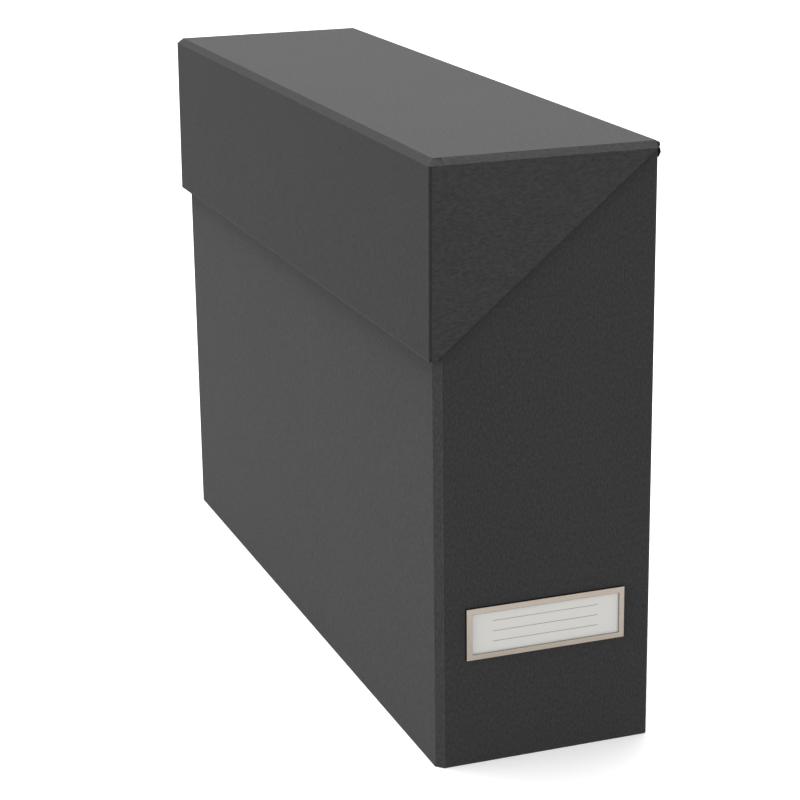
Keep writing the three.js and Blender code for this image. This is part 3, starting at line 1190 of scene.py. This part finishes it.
@dataclass
class HookRail:
    """One folded rail and its rivets, inside one short wall."""

    end: End
    low: Vector
    high: Vector
    rivets: tuple[str, ...]
    sheet: float = 0.8 * MM
    bend: float = 1.2 * MM
    lip_height: float = 10.0 * MM
    head_depth: float = 1.2 * MM
    head_dome: float = 0.95 * MM

    def strip(self) -> bpy.types.Object:
        """The rail's folded strip."""
        flange_y, lip_y = (self.low.y, self.high.y) if self.end is End.NEAR else (self.high.y, self.low.y)
        half = -self.end.value * self.sheet / 2
        ledge = self.low.z + self.sheet / 2
        corners = [
            (flange_y + half, self.high.z),
            (flange_y + half, ledge),
            (lip_y - half, ledge),
            (lip_y - half, self.low.z + self.lip_height),
        ]
        start = Vector((self.low.x, 0, 0))
        run = Vector((self.high.x - self.low.x, 0, 0))
        line = rounded(corners, self.bend)
        piece = drawn_sheet(f"rail_{self.end.word}", line, start, run, self.sheet)
        soften(piece, 0.15 * MM, 2, 60.0)
        return piece

    def rivet(self, node: str) -> bpy.types.Object:
        """One rivet's domed head, with a short length of its shank.

        Args:
            node: The CAD node of the rivet.

        Returns:
            The rivet.
        """
        low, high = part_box(node)
        centre = (low + high) / 2
        radius = (high.x - low.x) / 2
        face = high.y if self.end is End.NEAR else low.y
        clear_selection()
        bpy.ops.mesh.primitive_cylinder_add(
            vertices=32,
            radius=radius,
            depth=self.head_depth,
            location=(centre.x, face + self.end.value * self.head_depth / 2, centre.z),
            rotation=(math.pi / 2, 0, 0),
        )
        piece = bpy.context.object
        piece.name = piece.data.name = node.replace("rivet", "rivet_head")
        settle(piece)
        with editing(piece):
            pick(piece, "FACE", facing("y", -self.end.value))
            bpy.ops.mesh.bevel(offset=self.head_dome, segments=5, affect="EDGES", profile=0.5)
        soften(piece, 0.05 * MM, 2, 50.0)
        return piece

    def build(self, finishes: Finishes) -> None:
        """Makes the rail and its rivets.

        Args:
            finishes: The finishes.
        """
        node = f"hook_rail_{self.end.word}"
        dress(self.strip(), finishes.zinc, Body.BOX, (node,))
        for rivet in self.rivets:
            dress(self.rivet(rivet), finishes.zinc, Body.BOX, (rivet,))


# The room


@dataclass
class Studio:
    """The floor, the lamps and the camera."""

    floor_size: float = 40.0
    floor_paint: float = 0.72
    floor_glow: float = 0.42
    floor_bounce: float = 0.14
    sky: float = 0.2
    overhead: float = 4.5
    flap_side: float = 2.3
    card_end: float = 1.45
    lens: float = 101.907
    sensor: float = 36.0
    camera_at: Vector = Vector((-0.34202, -0.95522, 0.40849))
    azimuth: float = math.radians(19.972)
    elevation: float = math.radians(16.884)
    roll: float = math.radians(-0.733)

    def floor(self) -> None:
        """The pale floor, which shows as white to the camera and keeps the box's shadow."""
        clear_selection()
        bpy.ops.mesh.primitive_plane_add(size=self.floor_size, location=(0, 0, 0))
        floor = bpy.context.object
        floor.name = "floor"
        r = Recipe(bpy.data.materials.new("pale_floor"))
        paint = r.node("BsdfDiffuse", Color=(*[self.floor_paint] * 3, 1.0))
        glow = r.node("Emission", Color=(1.0, 1.0, 1.0, 1.0), Strength=self.floor_glow)
        shown = r.node("AddShader")
        r.feed(shown.inputs[0], paint.outputs[0])
        r.feed(shown.inputs[1], glow.outputs[0])
        bounce = r.node("BsdfDiffuse", Color=(*[self.floor_bounce] * 3, 1.0))
        mixed = r.node("MixShader", Fac=seen_as_background(r))
        r.feed(mixed.inputs[1], bounce.outputs[0])
        r.feed(mixed.inputs[2], shown.outputs[0])
        r.node("OutputMaterial", Surface=mixed.outputs[0])
        floor.data.materials.append(r.owner)
        floor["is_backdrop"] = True

    def world(self) -> None:
        """A plain room: soft light from all round, and white where the camera looks past the box."""
        world = bpy.data.worlds.new("room")
        bpy.context.scene.world = world
        r = Recipe(world)
        room = r.node("Background", Color=(1.0, 1.0, 1.0, 1.0), Strength=self.sky)
        white = r.node("Background", Color=(1.0, 1.0, 1.0, 1.0), Strength=1.0)
        mixed = r.node("MixShader", Fac=seen_as_background(r))
        r.feed(mixed.inputs[1], room.outputs[0])
        r.feed(mixed.inputs[2], white.outputs[0])
        r.node("OutputWorld", Surface=mixed.outputs[0])

    def lamp(self, name: str, towards: tuple[float, float, float], width: float, power: float) -> None:
        """A wide soft lamp, so far off that its light is even over the box and the floor.

        Args:
            name: The lamp's name.
            towards: The direction from the box to the lamp.
            width: How wide it looks from the box, in degrees.
            power: Its power in watts for each square metre.
        """
        clear_selection()
        bpy.ops.object.light_add(type="SUN", location=Vector(towards).normalized() * 2)
        lamp = bpy.context.object
        lamp.name = name
        lamp.data.angle = math.radians(width)
        lamp.data.energy = power
        lamp.rotation_euler = Vector(towards).to_track_quat("Z", "Y").to_euler()

    def lamps(self) -> None:
        """The overhead lamp, and weaker ones on the flap's side and at the card's end."""
        self.lamp("overhead_lamp", (-0.05, 0.35, 1.0), 50.0, self.overhead)
        self.lamp("flap_side_lamp", (-1.0, -0.1, 0.12), 60.0, self.flap_side)
        self.lamp("card_end_lamp", (-0.15, -1.0, 0.3), 50.0, self.card_end)

    def camera(self) -> None:
        """The camera, where the photograph was taken from."""
        data = bpy.data.cameras.new("camera")
        camera = bpy.data.objects.new("camera", data)
        bpy.context.scene.collection.objects.link(camera)
        data.lens, data.sensor_width = self.lens, self.sensor
        data.clip_start, data.clip_end = 0.01, 100.0
        level = math.cos(self.elevation)
        forward = Vector(
            (math.sin(self.azimuth) * level, math.cos(self.azimuth) * level, -math.sin(self.elevation))
        )
        turn = forward.to_track_quat("-Z", "Y").to_matrix() @ Matrix.Rotation(self.roll, 3, "Z")
        camera.location = self.camera_at
        camera.rotation_euler = turn.to_euler()
        bpy.context.scene.camera = camera

    def build(self) -> None:
        """Makes the whole room."""
        bpy.context.scene.view_settings.view_transform = "Standard"
        self.camera()
        self.world()
        self.floor()
        self.lamps()


def seen_as_background(r: Recipe) -> bpy.types.NodeSocket:
    """1 for what the camera sees, straight or in metal, and 0 for light on the object."""
    rays = r.node("LightPath").outputs
    seen = r.math("MAXIMUM", rays["Is Camera Ray"], rays["Is Glossy Ray"])
    return r.math("MAXIMUM", seen, rays["Is Transmission Ray"])


def main() -> None:
    """Builds the room and every piece of the box in order."""
    logging.basicConfig(level=logging.INFO, format="%(message)s")
    Studio().build()
    walls, base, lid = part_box("body_walls"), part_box("base_panel"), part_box("lid")
    card, border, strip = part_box("label_card"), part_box("label_frame"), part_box("hinge_strip")
    card_centre = Vector(((card[0].x + card[1].x) / 2, card[0].y, (card[0].z + card[1].z) / 2))
    finishes = Finishes.make(card_centre)
    Carcass(*walls, *base).build(finishes)
    Lid(*lid).build(finishes)
    PaperHinge(
        wall_face=walls[1].x,
        lid_back=lid[1].x,
        lid_top=lid[1].z,
        rim=walls[1].z,
        low=strip[0],
        high=strip[1],
        lid_reach=lid[1].y - 0.1 * MM,
        pleat_reach=walls[1].y - 0.6 * MM,
        wall_reach=strip[1].y,
    ).build(finishes)
    wall_inside = walls[0].y + BOARD + 0.3 * MM
    CardFrame(*border, wall_outside=walls[0].y, wall_inside=wall_inside).build(finishes)
    NameCard(*card).build(finishes)
    for end in End:
        rivets = tuple(f"rivet_{end.word}_{side}" for side in ("left", "right"))
        HookRail(end, *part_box(f"hook_rail_{end.word}"), rivets=rivets).build(finishes)
    sizes = {"cad": [list(corner) for corner in cad_bounds], "visual": [list(corner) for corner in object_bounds()]}


if __name__ == "__main__":
    main()
